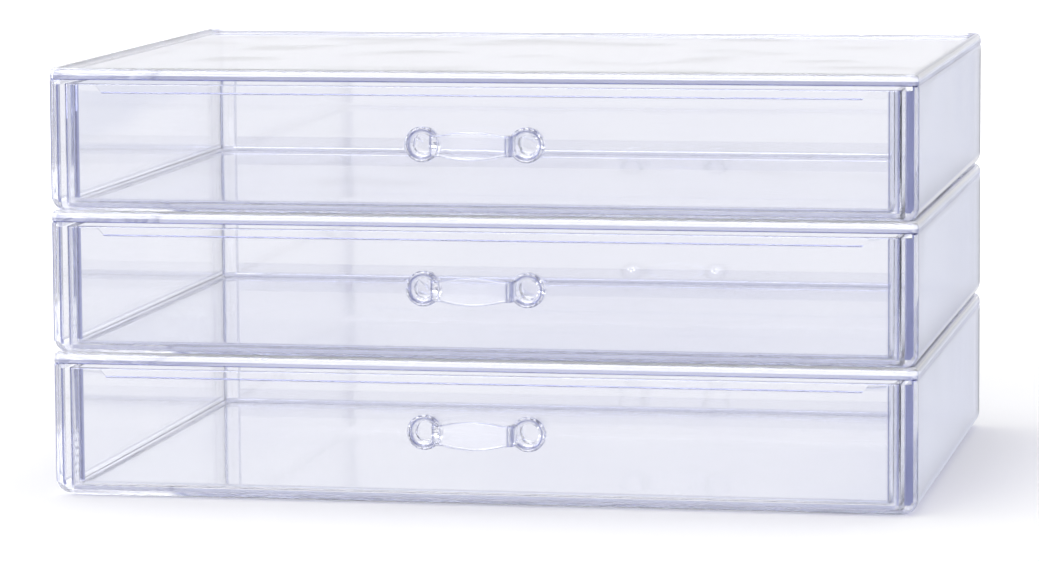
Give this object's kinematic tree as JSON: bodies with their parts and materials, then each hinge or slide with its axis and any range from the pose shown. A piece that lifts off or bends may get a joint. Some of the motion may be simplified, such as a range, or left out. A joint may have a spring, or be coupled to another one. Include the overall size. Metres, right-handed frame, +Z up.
{
  "type": "stacking makeup organizer drawers",
  "caption": "Clear plastic drawer units that nest in a stack, each an open-fronted case with a bonded rimmed lid and a wide shallow drawer with a bow handle.",
  "frame": {"origin": "on the surface the stack stands on, under the middle of its overall box, handles included", "axes": "+X to the right seen from the front, +Y towards the back, +Z up; the drawers open towards -Y"},
  "size_m": [0.305, 0.2304, 0.1513],
  "materials": {
    "clear_plastic": "clear, polished, with a faint lavender tint"
  },
  "bodies": {
    "lower_unit": {"lower_case": "clear_plastic", "lower_lid": "clear_plastic"},
    "middle_unit": {"middle_case": "clear_plastic", "middle_lid": "clear_plastic"},
    "upper_unit": {"upper_case": "clear_plastic", "upper_lid": "clear_plastic"},
    "lower_tray": {"lower_drawer": "clear_plastic", "lower_handle": "clear_plastic"},
    "middle_tray": {"middle_drawer": "clear_plastic", "middle_handle": "clear_plastic"},
    "upper_tray": {"upper_drawer": "clear_plastic", "upper_handle": "clear_plastic"}
  },
  "joints": [
    {"name": "lower_drawer_slide", "type": "slide", "parent": "lower_unit", "child": "lower_tray", "axis": [0, -1, 0], "range_m": [0, 0.165]},
    {"name": "middle_drawer_slide", "type": "slide", "parent": "middle_unit", "child": "middle_tray", "axis": [0, -1, 0], "range_m": [0, 0.165]},
    {"name": "upper_drawer_slide", "type": "slide", "parent": "upper_unit", "child": "upper_tray", "axis": [0, -1, 0], "range_m": [0, 0.165]},
    {"name": "middle_unit_lift", "type": "slide", "parent": "lower_unit", "child": "middle_unit", "axis": [0, 0, 1], "range_m": [0, 0.06]},
    {"name": "upper_unit_lift", "type": "slide", "parent": "middle_unit", "child": "upper_unit", "axis": [0, 0, 1], "range_m": [0, 0.06]}
  ]
}
